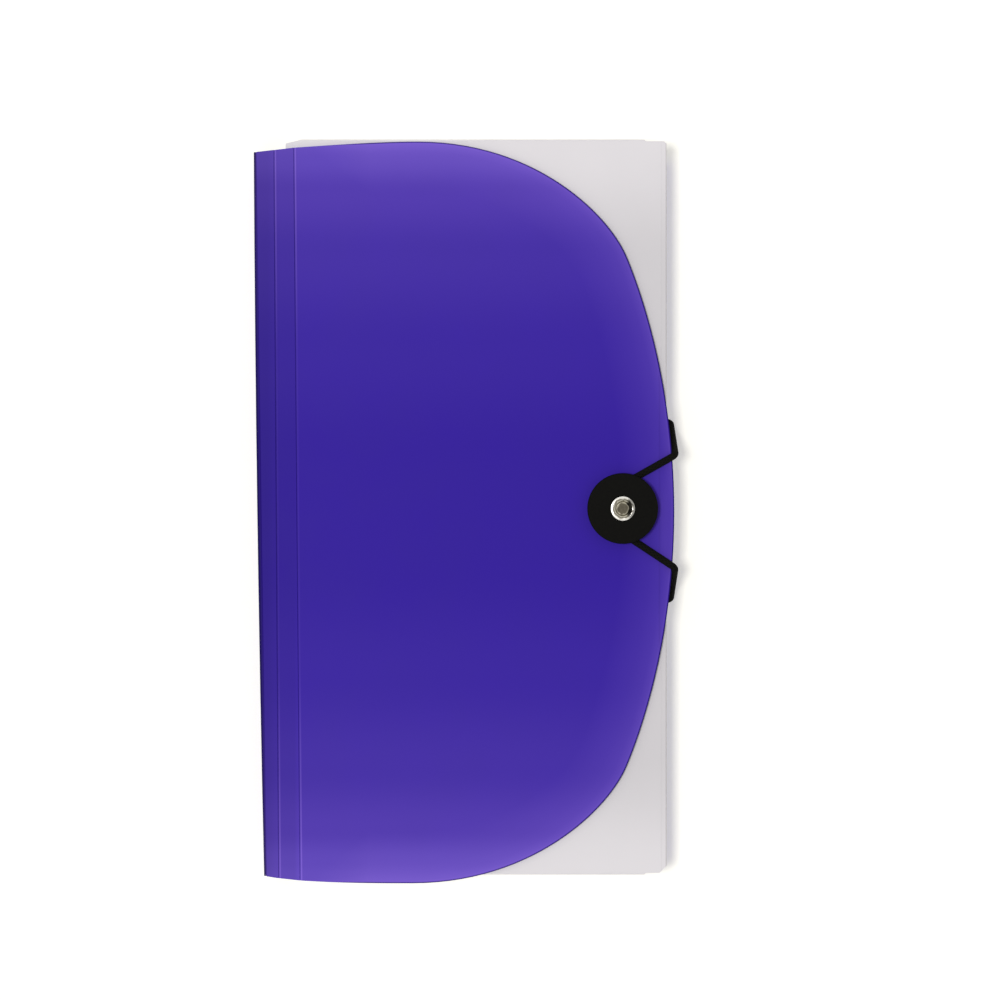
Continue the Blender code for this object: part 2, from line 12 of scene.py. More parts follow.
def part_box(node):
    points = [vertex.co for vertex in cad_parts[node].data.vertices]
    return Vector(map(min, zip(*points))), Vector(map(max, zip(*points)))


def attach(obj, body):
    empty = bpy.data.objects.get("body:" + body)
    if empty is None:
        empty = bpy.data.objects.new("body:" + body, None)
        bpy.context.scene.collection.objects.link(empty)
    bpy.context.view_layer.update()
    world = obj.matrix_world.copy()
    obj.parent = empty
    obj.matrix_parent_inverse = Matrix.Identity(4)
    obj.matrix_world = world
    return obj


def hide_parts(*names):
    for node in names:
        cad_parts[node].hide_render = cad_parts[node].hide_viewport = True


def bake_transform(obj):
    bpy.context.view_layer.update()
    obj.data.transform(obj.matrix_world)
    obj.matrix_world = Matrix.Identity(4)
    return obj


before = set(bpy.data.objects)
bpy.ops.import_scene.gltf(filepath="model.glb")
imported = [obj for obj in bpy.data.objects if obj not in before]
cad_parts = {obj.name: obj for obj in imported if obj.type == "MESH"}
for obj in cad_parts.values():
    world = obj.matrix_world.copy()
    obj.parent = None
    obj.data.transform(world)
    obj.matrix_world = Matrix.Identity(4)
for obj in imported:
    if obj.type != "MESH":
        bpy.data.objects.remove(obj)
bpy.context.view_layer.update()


# Table and light
# The file lies on a white table top. One broad lamp high on the left gives the soft grey edge of shadow
# on its right side, and an even pale room lights the rest.

scene = bpy.context.scene
scene.view_settings.view_transform = "Standard"

camera = bpy.data.objects.new("camera", bpy.data.cameras.new("camera"))
camera.data.sensor_width = 36
camera.data.lens = 103.2
camera.data.clip_start = 0.01
camera.location = (0.01178, 0.00364, 1.0189)
scene.collection.objects.link(camera)
scene.camera = camera

lamp = bpy.data.objects.new("window_lamp", bpy.data.lights.new("window_lamp", "AREA"))
lamp.data.shape = "SQUARE"
lamp.data.size = 0.6
lamp.data.energy = 42
lamp.location = (-0.68, 0.0, 3.0)
lamp.rotation_euler = (Vector() - lamp.location).to_track_quat("-Z", "Y").to_euler()
scene.collection.objects.link(lamp)


def feed(tree, node, inputs):
    """Puts values, or other nodes' sockets, into a shader node's inputs."""
    for key, value in inputs.items():
        if isinstance(value, bpy.types.NodeSocket):
            tree.links.new(value, node.inputs[key])
        else:
            node.inputs[key].default_value = value


def add(tree, kind, inputs=None, **settings):
    """A new shader node in this tree, with its settings and inputs."""
    made = tree.nodes.new("ShaderNode" + kind)
    for key, value in settings.items():
        setattr(made, key, value)
    feed(tree, made, inputs or {})
    return made


def calc(tree, operation, *values):
    """One step of arithmetic on numbers."""
    return add(tree, "Math", dict(enumerate(values)), operation=operation).outputs[0]


def graded(tree, value, start, end, low=0.0, high=1.0, ease="LINEAR"):
    """A number that goes from low to high as the value goes from start to end, and stays there beyond."""
    inputs = {"Value": value, "From Min": start, "From Max": end, "To Min": low, "To Max": high}
    return add(tree, "MapRange", inputs, interpolation_type=ease).outputs[0]


def white_to_the_eye(tree):
    """1 for what is seen straight on, or in a reflection or through glass, and 0 for what only lights."""
    path = add(tree, "LightPath").outputs
    seen = calc(tree, "MAXIMUM", path["Is Camera Ray"], path["Is Glossy Ray"])
    return calc(tree, "MAXIMUM", seen, path["Is Transmission Ray"])


room = bpy.data.worlds.new("pale_room")
room.use_nodes = True
scene.world = room
fill_light = 0.46
strength = graded(room.node_tree, white_to_the_eye(room.node_tree), 0.0, 1.0, fill_light, 1.0)
feed(room.node_tree, room.node_tree.nodes["Background"], {"Color": (1, 1, 1, 1), "Strength": strength})

table_white = bpy.data.materials.new("table_white")
table_white.use_nodes = True
tree = table_white.node_tree
tree.nodes.remove(tree.nodes["Principled BSDF"])
matt = add(tree, "BsdfDiffuse", {"Color": (0.94, 0.92, 0.83, 1)})
place = add(tree, "TexCoord").outputs["Object"]
from_middle = add(tree, "VectorMath", {0: place}, operation="LENGTH").outputs["Value"]
brighter_far_off = graded(tree, from_middle, 0.35, 1.3, 0.32, 0.85)
glow = add(tree, "Emission", {"Color": (1, 1, 1, 1), "Strength": brighter_far_off})
no_glow = add(tree, "Emission", {"Color": (0, 0, 0, 1), "Strength": 0.0})
lift = add(tree, "MixShader", {0: white_to_the_eye(tree), 1: no_glow.outputs[0], 2: glow.outputs[0]})
both = add(tree, "AddShader", {0: matt.outputs[0], 1: lift.outputs[0]})
feed(tree, tree.nodes["Material Output"], {"Surface": both.outputs[0]})

table_reach, table_gap = 4, 0.0001
shape = bmesh.new()
bmesh.ops.create_grid(shape, x_segments=1, y_segments=1, size=table_reach)
bmesh.ops.translate(shape, verts=shape.verts, vec=(0, 0, -table_gap))
mesh = bpy.data.meshes.new("table_top")
shape.to_mesh(mesh)
shape.free()
mesh.materials.append(table_white)
table_top = bpy.data.objects.new("table_top", mesh)
scene.collection.objects.link(table_top)


# Purple sheet
# Polypropylene 0.7 mm thick with a fine matt grain, cut in one piece that wraps round the pockets.
# Its colour is deepest in the middle of the file and paler towards both ends and the cut edges; this paling is
# painted light.

disc_low, disc_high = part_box("button_disc")
button_place = Vector((0.1268, 0.00115))  # from the spine's outside face and the flap's centre line
spine_x = (disc_low.x + disc_high.x) / 2 - button_place.x
middle_y = (disc_low.y + disc_high.y) / 2 - button_place.y
sheet_wall = 0.0007
score_place = {1: (0.0062, math.radians(0.38)), 2: (0.0134, math.radians(0.5))}  # from the spine, and lean


def new_finish(name):
    """A new material, with its node tree and its shader."""
    finish = bpy.data.materials.new(name)
    finish.use_nodes = True
    return finish, finish.node_tree, finish.node_tree.nodes["Principled BSDF"]


def ramp(tree, value, stops, ease="LINEAR"):
    """A colour read off between these stops."""
    made = add(tree, "ValToRGB", {0: value})
    made.color_ramp.interpolation = ease
    levels = made.color_ramp.elements
    for level, (position, colour) in zip(levels[:], (stops[0], stops[-1])):
        level.position, level.color = position, (*colour, 1)
    for position, colour in stops[1:-1]:
        levels.new(position).color = (*colour, 1)
    return made.outputs[0]


def vector_calc(tree, operation, *values, **named):
    """One step of arithmetic on colours or places."""
    return add(tree, "VectorMath", {**dict(enumerate(values)), **named}, operation=operation).outputs[0]


def grain(tree, place, scale, height):
    """Bump of a fine moulded grain over a slow unevenness of the sheet."""
    fine = add(tree, "TexNoise", {"Vector": place, "Scale": scale, "Detail": 3.0, "Roughness": 0.55})
    slow = add(tree, "TexNoise", {"Vector": place, "Scale": 22.0, "Detail": 1.0})
    wavy = add(tree, "Bump", {"Strength": 0.08, "Distance": 0.0003, "Height": slow.outputs[0]})
    inputs = {"Strength": 0.5, "Distance": height, "Height": fine.outputs[0], "Normal": wavy.outputs[0]}
    return add(tree, "Bump", inputs).outputs[0]


def beside_scores(tree, axes, start, end):
    """1 in a narrow soft band from start to end beside each score line, and 0 elsewhere."""
    bands = []
    half_band = (end - start) / 2
    for offset, lean in score_place.values():
        level = calc(tree, "MULTIPLY_ADD", axes["X"], math.cos(lean), -(spine_x + offset) * math.cos(lean))
        from_line = calc(tree, "MULTIPLY_ADD", axes["Y"], math.sin(lean), level)
        from_centre = calc(tree, "ABSOLUTE", calc(tree, "SUBTRACT", from_line, start + half_band))
        bands.append(graded(tree, from_centre, half_band * 0.4, half_band, 1.0, 0.0))
    return calc(tree, "MAXIMUM", *bands)


purple, tree, shader = new_finish("purple_sheet")
place = add(tree, "TexCoord").outputs["Object"]
axes = add(tree, "SeparateXYZ", {0: place}).outputs
either_way = calc(tree, "ABSOLUTE", axes["Y"])
# Painted light: the sheet's colour pales towards both ends of the file.
palest_at = 0.1275
deep_to_pale = (
    (0.157, (0.0368, 0.0121, 0.351)),
    (0.451, (0.0460, 0.0177, 0.375)),
    (0.706, (0.0636, 0.0284, 0.408)),
    (0.875, (0.0917, 0.0444, 0.463)),
    (0.962, (0.1254, 0.0673, 0.531)),
    (1.0, (0.140, 0.077, 0.558)),
)
by_length = ramp(tree, graded(tree, either_way, 0.0, palest_at), deep_to_pale, ease="EASE")

# Cut edges are paler by painted light, a painted sheen lies beside the button, and the scores are paler.
rim = add(tree, "Attribute", attribute_name="painted_edge_light_and_shade").outputs["Fac"]
pale_rim = calc(tree, "MAXIMUM", rim, 0.0)
strongest_at_ends = graded(tree, either_way, 0.055, 0.120, 0.16, 1.0)
pale_score = calc(tree, "MULTIPLY", beside_scores(tree, axes, 0.00006, 0.0008), strongest_at_ends)
palest = calc(tree, "MAXIMUM", pale_rim, pale_score)
bend_line_x = spine_x + 0.1398  # where the flap bends down over the front cover's turned edge; painted shade darkens this line
# Painted sheen: a soft pale patch just past the bend line, beside the button.
sheen_middle = (bend_line_x + 0.0014, -0.005, 0)
from_sheen = vector_calc(tree, "ABSOLUTE", vector_calc(tree, "SUBTRACT", place, sheen_middle))
off_sheen = add(tree, "SeparateXYZ", {0: from_sheen}).outputs
sheen_width = graded(tree, off_sheen["X"], 0.0004, 0.0022, 0.16, 0.0)
sheen_length = graded(tree, off_sheen["Y"], 0.007, 0.018, 1.0, 0.0)
paling = calc(tree, "MULTIPLY_ADD", sheen_width, sheen_length, palest)
paler = vector_calc(tree, "MULTIPLY_ADD", paling, (0.090, 0.055, 0.150), by_length)

# The strips by the spine are darker; painted shade darkens the very rim, the long folds and the line where the
# flap bends over the front cover's edge.
mottle = add(tree, "TexNoise", {"Vector": place, "Scale": 60.0, "Detail": 4.0}).outputs[0]
on_bend_line = calc(tree, "COMPARE", axes["X"], bend_line_x, 0.0003)
shade = graded(tree, axes["X"], spine_x + 0.0125, spine_x + 0.0137, 0.90, 1.0)
for darker in (
    graded(tree, axes["X"], spine_x + 0.003, spine_x + 0.0075, 0.84, 1.0),
    graded(tree, mottle, 0.3, 0.7, 0.985, 1.015),
    graded(tree, rim, -1.0, 0.0, 0.30, 1.0),
    graded(tree, on_bend_line, 0.0, 1.0, 1.0, 0.92),
):
    shade = calc(tree, "MULTIPLY", shade, darker)
feed(tree, shader, {
    "Base Color": vector_calc(tree, "SCALE", paler, Scale=shade),
    "Roughness": graded(tree, mottle, 0.3, 0.7, 0.44, 0.48),
    "Specular IOR Level": 0.05,
    "Normal": grain(tree, place, 2200.0, 0.00003),
})


# Back cover
# The part of the purple sheet that the file lies on, with its far edge folded up as a low lip.
# The lip has two drilled holes for the elastic.

spine_lean = math.radians(0.82)
fold_radius = 0.0010
lip_bend = 0.0009
back_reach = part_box("back_cover")[1].x
near = 0.00002  # how closely a point of the mesh counts as being on a line or a plane


def across(lean):
    """Level direction square to a crease that leans this much."""
    return Vector((math.cos(lean), math.sin(lean), 0))


spine_fold = Vector((spine_x, middle_y, 0))
back_end = spine_fold + across(spine_lean) * fold_radius


def on_plane(edge, point, facing):
    """Whether the edge lies in this plane."""
    return all(abs((corner.co - point).dot(facing)) < near for corner in edge.verts)


sheet_half = 0.1265
lower_longer, upper_longer = 0.0012, -0.0004
strips_width, drawn_out_over = 0.014, 0.03


def draw_out_ends(shape):
    """Sets both ends of a piece beside the spine to the sheet's cut, which isn't quite square to the spine."""
    for corner in shape.verts:
        along = corner.co.y - middle_y
        longer = lower_longer if along < 0 else upper_longer
        share = min(1, max(0, 1 - (corner.co.x - spine_x - strips_width) / drawn_out_over))
        corner.co.y += longer * share * along / sheet_half


def whole_faces(node):
    """The node's own shape, its loose triangles joined into whole flat faces."""
    shape = bmesh.new()
    shape.from_mesh(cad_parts[node].data)
    bmesh.ops.remove_doubles(shape, verts=shape.verts, dist=0.000002)
    bmesh.ops.dissolve_limit(shape, angle_limit=math.radians(1), verts=shape.verts, edges=shape.edges)
    for face in shape.faces:
        face.smooth = False
    return shape


edge_ease = 0.00012


def ease_edges(shape, radius=edge_ease, segments=2, square=None, turn=25):
    """Rounds the cut edges, as far as the narrowest face beside them leaves room for.

    The edges that `square` picks stay as they are, because the next piece joins on there.
    """
    shape.normal_update()
    edges = [edge for edge in shape.edges if edge.is_manifold and edge.calc_face_angle() > math.radians(turn)]
    if square:
        edges = [edge for edge in edges if not square(edge)]
    made = bmesh.ops.bevel(
        shape,
        geom=edges,
        offset=radius,
        offset_type="OFFSET",
        segments=segments,
        profile=0.5,
        affect="EDGES",
        clamp_overlap=True,
        material=-1,
    )
    for face in made["faces"]:
        face.smooth = True


def trim(shape, point, facing):
    """Cuts away what lies behind the plane, and closes the cut."""
    everything = shape.verts[:] + shape.edges[:] + shape.faces[:]
    cut = bmesh.ops.bisect_plane(shape, geom=everything, plane_co=point, plane_no=facing, clear_inner=True)
    rim = [part for part in cut["geom_cut"] if isinstance(part, bmesh.types.BMEdge)]
    bmesh.ops.contextual_create(shape, geom=rim)


def piece_from(shape, name, finish, slot, *stands_for):
    """The finished mesh as an object at the origin, with its faces turned outwards."""
    bmesh.ops.recalc_face_normals(shape, faces=shape.faces)
    mesh = bpy.data.meshes.new(name)
    shape.to_mesh(mesh)
    shape.free()
    mesh.materials.append(finish)
    piece = bpy.data.objects.new(name, mesh)
    scene.collection.objects.link(piece)
    if stands_for:
        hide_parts(*stands_for)
    return piece


shape = whole_faces("back_cover")
lip_fold = [
    edge
    for edge in shape.edges
    if all(abs(corner.co.x - back_reach) < near and corner.co.z < near for corner in edge.verts)
]
turned_up = bmesh.ops.bevel(
    shape,
    geom=lip_fold,
    offset=lip_bend,
    offset_type="OFFSET",
    segments=6,
    profile=0.5,
    affect="EDGES",
    material=-1,
)
trim(shape, back_end, across(spine_lean))
draw_out_ends(shape)
ease_edges(shape, square=lambda edge: on_plane(edge, back_end, across(spine_lean)))
for face in turned_up["faces"]:
    if face.is_valid:
        face.smooth = True
for corner in shape.verts:
    corner.co.z = max(0, corner.co.z)
back_cover = piece_from(shape, "back_sheet", purple, "purple_sheet", "back_cover")
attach(back_cover, "back")


# Spine panel
# The narrow wall of the purple sheet between its two long folds. It stands upright while the file is shut,
# and bows outwards a little where the pockets press on it.

flap_bottom, flap_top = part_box("flap")[0].z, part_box("flap")[1].z
spine_foot, spine_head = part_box("spine_panel")[0].z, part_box("spine_panel")[1].z
bow, bow_step = 0.00058, 0.0315


def cut_through(shape, point, facing):
    """A cut along this plane that leaves both sides in place."""
    everything = shape.verts[:] + shape.edges[:] + shape.faces[:]
    bmesh.ops.bisect_plane(shape, geom=everything, plane_co=point, plane_no=facing, dist=0.000001)


def bow_out(shape):
    """Bows the sheet outwards along its length, most at the middle and at its outside face."""
    for part in range(-3, 4):
        cut_through(shape, (0, middle_y + bow_step * part, 0), (0, 1, 0))
    for corner in shape.verts:
        along = (corner.co.y - middle_y) / sheet_half
        depth = (corner.co - spine_fold).dot(across(spine_lean))
        share = min(1, max(0, (fold_radius - depth) / (fold_radius - sheet_wall)))
        corner.co -= across(spine_lean) * bow * share * max(0, 1 - along**2)


def level_edge(edge, heights):
    """Whether the edge lies level at one of these heights."""
    return any(all(abs(corner.co.z - height) < near for corner in edge.verts) for height in heights)


shape = whole_faces("spine_panel")
draw_out_ends(shape)
bow_out(shape)
ease_edges(shape, square=lambda edge: level_edge(edge, (spine_foot, spine_head)))
spine_sheet = piece_from(shape, "spine_sheet", purple, "purple_sheet", "spine_panel")
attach(spine_sheet, "spine")


# Long folds
# The sheet is creased hard along both edges of the spine, and turns through a small round bend there.

spine_half = 0.12585 / math.cos(spine_lean)


def long_fold(name, start_height, turn, bend_centre):
    """A quarter turn of the sheet, spun from its cross-section at the spine's end."""
    shape = bmesh.new()
    bmesh.ops.create_grid(shape, x_segments=1, y_segments=1, size=0.5)
    section = Matrix.Diagonal((sheet_wall, spine_half * 2, 1, 1))
    bmesh.ops.transform(shape, verts=shape.verts, matrix=section)
    bmesh.ops.translate(shape, verts=shape.verts, vec=(sheet_wall / 2, 0, start_height))
    bmesh.ops.spin(
        shape,
        geom=shape.verts[:] + shape.edges[:] + shape.faces[:],
        cent=(fold_radius, 0, bend_centre),
        axis=(0, 1, 0),
        angle=turn,
        steps=8,
    )
    shape.normal_update()
    for face in shape.faces:
        face.smooth = abs(face.normal.y) < 0.5
    rim = shape.verts.layers.float.new("painted_edge_light_and_shade")
    for corner in shape.verts:
        turned = math.atan2(abs(corner.co.z - bend_centre), fold_radius - corner.co.x)
        corner[rim] = -math.sqrt(max(0, math.sin(2 * turned)))  # painted shade, darkest halfway round the bend
    lean = Matrix.Rotation(spine_lean, 3, "Z")
    bmesh.ops.rotate(shape, verts=shape.verts, cent=(0, 0, 0), matrix=lean)
    bmesh.ops.translate(shape, verts=shape.verts, vec=spine_fold)
    draw_out_ends(shape)
    bow_out(shape)
    return piece_from(shape, name, purple, "purple_sheet")


foot_fold = long_fold("spine_foot_fold", spine_foot, -math.pi / 2, spine_foot)
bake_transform(foot_fold)

head_fold = long_fold("spine_head_fold", spine_head, math.pi / 2, spine_head)
strip_start = spine_fold + across(spine_lean) * fold_radius + Vector((0, 0, flap_top))
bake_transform(head_fold)


# Scored strips
# Two score lines beside the spine let the sheet ease over the pockets. A thin web of plastic is left at
# the bottom of each groove.

score_half = {1: 0.12665, 2: 0.12744}

shape = whole_faces("hinge_strip_1")
trim(shape, strip_start, across(spine_lean))
ease_edges(shape, square=lambda edge: on_plane(edge, strip_start, across(spine_lean)))
draw_out_ends(shape)
first_strip = piece_from(shape, "scored_strip_1", purple, "purple_sheet", "hinge_strip_1")
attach(first_strip, "strip_1")

shape = whole_faces("hinge_strip_2")
ease_edges(shape)
draw_out_ends(shape)
second_strip = piece_from(shape, "scored_strip_2", purple, "purple_sheet", "hinge_strip_2")
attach(second_strip, "strip_2")

web_wall = 0.00032
web_width = 0.00042
web_gap = 0.00002
for number, (body_before, body_after) in {1: ("strip_1", "strip_2"), 2: ("strip_2", "flap_panel")}.items():
    offset, lean = score_place[number]
    crease = spine_fold + Vector((offset, 0, flap_bottom + web_wall / 2 + web_gap))
    web_length = score_half[number] * 2 / math.cos(lean)
    shape = bmesh.new()
    bmesh.ops.create_cube(shape, size=1)
    bmesh.ops.scale(shape, verts=shape.verts, vec=(web_width, web_length, web_wall))
    bmesh.ops.rotate(shape, verts=shape.verts, cent=(0, 0, 0), matrix=Matrix.Rotation(lean, 3, "Z"))
    bmesh.ops.translate(shape, verts=shape.verts, vec=crease)
    draw_out_ends(shape)
    web = piece_from(shape, f"score_web_{number}", purple, "purple_sheet")
    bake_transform(web)


# Flap
# The big round-nosed part of the purple sheet that closes over the front cover. Its outline is one long
# smooth curve, and its nose dips slightly where it passes the front cover's rounded edge.

# Each knot of the outline is a point with its handles before and after it, measured from the spine's fold.
flap_tip = Vector((0.1450, 0))
tip_handle = Vector((0, 0.0456))
wide_handle = Vector((0.0135, 0))
corner_way = Vector((math.cos(math.radians(67.0)), -math.sin(math.radians(67.0))))
shoulder_pull, corner_pull, tip_pull = 0.564, 0.395, 0.126  # the handles, as shares of their runs
halves = []
for wide, corner in (
    (Vector((0.0555, 0.12915)), Vector((0.12825, 0.08920))),
    (Vector((0.0537, 0.12960)), Vector((0.12820, 0.08910))),
):
    run, drop = corner.x - wide.x, wide.y - corner.y
    halves.append([
        (wide, wide - wide_handle, wide + Vector((run * shoulder_pull, 0))),
        (corner, corner - corner_way * drop * corner_pull, corner + corner_way * corner.y * tip_pull),
    ])
upper_half, lower_half = halves
flip = Matrix.Diagonal((1, -1))
outline = upper_half + [(flap_tip, flap_tip + tip_handle, flap_tip - tip_handle)]
outline += [(flip @ point, flip @ after, flip @ before) for point, before, after in reversed(lower_half)]

offset, lean = score_place[2]
fold_gap = 0.00015
fold_ends = []
for side, longer in ((-1, lower_longer), (1, upper_longer)):
    reach = score_half[2] + longer
    fold_ends.append(Vector((offset - side * reach * math.tan(lean) + fold_gap, side * reach)))
lower_end, upper_end = fold_ends
third = (upper_end - lower_end) / 3
end_rise = Vector((0, 0.0009))
outline.append((lower_end, lower_end + wide_handle - end_rise, lower_end + third))
outline.insert(0, (upper_end, upper_end - third, upper_end + wide_handle + end_rise))

curve = bpy.data.curves.new("flap_outline", "CURVE")
curve.dimensions = "2D"
curve.fill_mode = "NONE"
curve.resolution_u = 28
line = curve.splines.new("BEZIER")
line.bezier_points.add(len(outline) - 1)
line.use_cyclic_u = True
for knot, (point, before, after) in zip(line.bezier_points, outline):
    knot.handle_left_type = knot.handle_right_type = "FREE"
    knot.co = (*point, 0)
    knot.handle_left = (*before, 0)
    knot.handle_right = (*after, 0)
drawn = bpy.data.objects.new("flap_outline", curve)
scene.collection.objects.link(drawn)
shape = bmesh.new()
shape.from_mesh(bpy.data.meshes.new_from_object(drawn))
bpy.data.objects.remove(drawn, do_unlink=True)


def of_kind(made, kind):
    """The corners or the edges among what an operator has made."""
    return [part for part in made["geom"] if isinstance(part, kind)]


# Rings inside the outline carry painted light that pales the sheet towards its cut edge, with painted shade
# along the very edge, and close up towards the fold.
painted_edge_light_and_shade = shape.verts.layers.float.new("painted_edge_light_and_shade")
fold_reach = offset + 0.003
full_width_after = 0.022
narrowest = 0.03
flap_middle = Vector((0.075, 0, 0))
edge_corners, edge_lines = shape.verts[:], shape.edges[:]
inward, away_from_fold = {}, {}
for corner in edge_corners:
    before, after = [edge.other_vert(corner).co for edge in corner.link_edges]
    chord = (after - before).normalized()
    square_in = Vector((-chord.y, chord.x, 0))
    inward[corner] = square_in if square_in.dot(flap_middle - corner.co) > 0 else -square_in
    away_from_fold[corner] = min(1, max(narrowest, (corner.co.x - fold_reach) / full_width_after))
rings = [edge_lines]
for inset, pale in (
    (0, -1.0),
    (0.00022, -1.0),
    (0.00055, 0.8),
    (0.0012, 0.60),
    (0.0035, 0.36),
    (0.0080, 0.20),
    (0.0180, 0.0),
):
    copied = {corner: corner for corner in edge_corners}
    if inset:
        drawn_in = bmesh.ops.duplicate(shape, geom=edge_corners + edge_lines)
        copied = {corner: drawn_in["vert_map"][corner] for corner in edge_corners}
        rings.append(of_kind(drawn_in, bmesh.types.BMEdge))
    for corner in edge_corners:
        copied[corner].co = corner.co + inward[corner] * inset * away_from_fold[corner]
        copied[corner][painted_edge_light_and_shade] = pale * max(0, away_from_fold[corner] - narrowest)
for outer, inner in zip(rings, rings[1:]):
    bmesh.ops.bridge_loops(shape, edges=outer + inner)
bmesh.ops.contextual_create(shape, geom=rings[-1])
bmesh.ops.translate(shape, verts=shape.verts, vec=spine_fold + Vector((0, 0, flap_bottom)))
raised = bmesh.ops.extrude_face_region(shape, geom=shape.faces[:])
bmesh.ops.translate(shape, verts=of_kind(raised, bmesh.types.BMVert), vec=(0, 0, sheet_wall))
bmesh.ops.recalc_face_normals(shape, faces=shape.faces)
shape.normal_update()
for face in shape.faces:
    face.smooth = abs(face.normal.z) < 0.5
ease_edges(shape, radius=0.00014)
shape.normal_update()

# The sheet turns down a little from just inside the front cover's edge.
nose_x = spine_x + 0.1399
nose_round = 0.0006
nose_slope = 0.07
for part in (-1, -0.5, 0, 0.5, 1):
    cut_through(shape, (nose_x + nose_round * part, 0, 0), (1, 0, 0))
for face in shape.faces:
    if abs(face.normal.z) > 0.5 and abs(face.calc_center_median().x - nose_x) < nose_round:
        face.smooth = True
for corner in shape.verts:
    past = corner.co.x - nose_x
    if past > nose_round:
        corner.co.z -= past * nose_slope
    elif past > -nose_round:
        corner.co.z -= nose_slope * (past + nose_round) ** 2 / (4 * nose_round)
flap = piece_from(shape, "flap_sheet", purple, "purple_sheet", "flap")
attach(flap, "flap_panel")


# Front cover
# Frosted sheet over the last pocket, milky and faintly uneven, with its far edge bent down over the
# pleats and both far corners cut off.


def frosted(name, colour, roughness, scale):
    """Milky sheet or film of a slowly uneven white, paler towards its ends, with a fine frosted surface."""
    finish, tree, shader = new_finish(name)
    place = add(tree, "TexCoord").outputs["Object"]
    cloud = add(tree, "TexNoise", {"Vector": place, "Scale": 35.0, "Detail": 3.0}).outputs[0]
    milky = ramp(tree, cloud, ((0.3, [level * 0.975 for level in colour]), (0.7, colour)))
    either_way = calc(tree, "ABSOLUTE", add(tree, "SeparateXYZ", {0: place}).outputs["Y"])
    paler = graded(tree, either_way, 0.085, 0.127, 1.0, 1.2, ease="SMOOTHSTEP")
    # Painted shade darkens the crease line near the front cover's edge.
    bend = add(tree, "Attribute", attribute_name="crease").outputs["Fac"]
    shade = calc(tree, "MULTIPLY", paler, graded(tree, bend, 0.0, 1.0, 1.0, 0.92))
    feed(tree, shader, {
        "Base Color": vector_calc(tree, "SCALE", milky, Scale=shade),
        "Roughness": roughness,
        "Specular IOR Level": 0.2,
        "Normal": grain(tree, place, scale, 0.00003),
    })
    return finish


frosted_sheet = frosted("frosted_sheet", (0.70, 0.672, 0.690), 0.5, 1800.0)
cover_low, cover_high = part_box("front_cover")
cover_wall = 0.0006
cover_bend = 0.0006
crease_drop = 0.00006
corner_cuts = {1: 0.0009, -1: 0.0025}  # off the upper and the lower corner

# The cover's cross-section, as reach, drop below its top, and how much painted shade darkens its crease.
profile = [(cover_low.x, 0, 0)]
for inset, drop, crease_shade in ((0.00202, 0, 0), (0.00190, 0.00001, 1), (0.00178, 0.00002, 0)):
    profile.append((cover_high.x - inset, drop, crease_shade))
for angle in range(10, 91, 16):
    turn = math.radians(angle)
    drop = crease_drop + cover_bend * (1 - math.cos(turn))
    profile.append((cover_high.x - cover_bend * (1 - math.sin(turn)), drop, 0))
profile.append((cover_high.x, cover_high.z - cover_low.z, 0))

shape = bmesh.new()
crease = shape.verts.layers.float.new("crease")
corners = []
for reach, drop, crease_shade in profile:
    corner = shape.verts.new((reach, cover_low.y, cover_high.z - drop))
    corner[crease] = crease_shade
    corners.append(corner)
section = [shape.edges.new(pair) for pair in zip(corners, corners[1:])]
drawn_out = bmesh.ops.extrude_edge_only(shape, edges=section)
along = Vector((0, cover_high.y - cover_low.y, 0))
bmesh.ops.translate(shape, verts=of_kind(drawn_out, bmesh.types.BMVert), vec=along)
bmesh.ops.recalc_face_normals(shape, faces=shape.faces)
shape.normal_update()
facing_up = sum(face.normal.z * face.calc_area() for face in shape.faces) > 0
if not facing_up:  # the sheet thickens away from the side it faces
    bmesh.ops.reverse_faces(shape, faces=shape.faces)
bmesh.ops.solidify(shape, geom=shape.faces[:], thickness=cover_wall)
bmesh.ops.recalc_face_normals(shape, faces=shape.faces)
for side, edge_y in ((1, cover_high.y), (-1, cover_low.y)):
    trim(shape, Vector((cover_high.x - corner_cuts[side], edge_y, 0)), Vector((-1, -side, 0)).normalized())
shape.normal_update()
for face in shape.faces:
    tilt = abs(face.normal.x), abs(face.normal.z)
    face.smooth = min(tilt) > 0.05 and abs(face.normal.y) < 0.2
ease_edges(shape, radius=0.00010, turn=50)
front_cover = piece_from(shape, "front_sheet", frosted_sheet, "frosted_sheet", "front_cover")
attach(front_cover, "front")


# Pockets
# Twelve thin frosted dividers with index tabs along the spine side, each with a blank paper label.
# They keep the solid model's own shapes.

divider_film = frosted("divider_film", (0.71, 0.69, 0.705), 0.55, 2600.0)
label_paper, tree, shader = new_finish("label_paper")
place = add(tree, "TexCoord").outputs["Object"]
fibres = add(tree, "TexNoise", {"Vector": place, "Scale": 900.0, "Detail": 6.0}).outputs[0]
feed(tree, shader, {
    "Base Color": ramp(tree, fibres, ((0.0, (0.78, 0.76, 0.70)), (1.0, (0.88, 0.87, 0.82)))),
    "Roughness": 0.9,
    "Normal": add(tree, "Bump", {"Strength": 0.4, "Distance": 0.00003, "Height": fibres}).outputs[0],
})


def dress(node, finish):
    """Gives a piece of the solid model this finish."""
    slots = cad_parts[node].data.materials
    slots.clear()
    slots.append(finish)


for number in range(1, 13):
    dress(f"divider_{number:02d}", divider_film)
    dress(f"tab_label_{number:02d}", label_paper)


# Pleats
# Folded frosted film that closes each pocket along its two sides and its bottom.

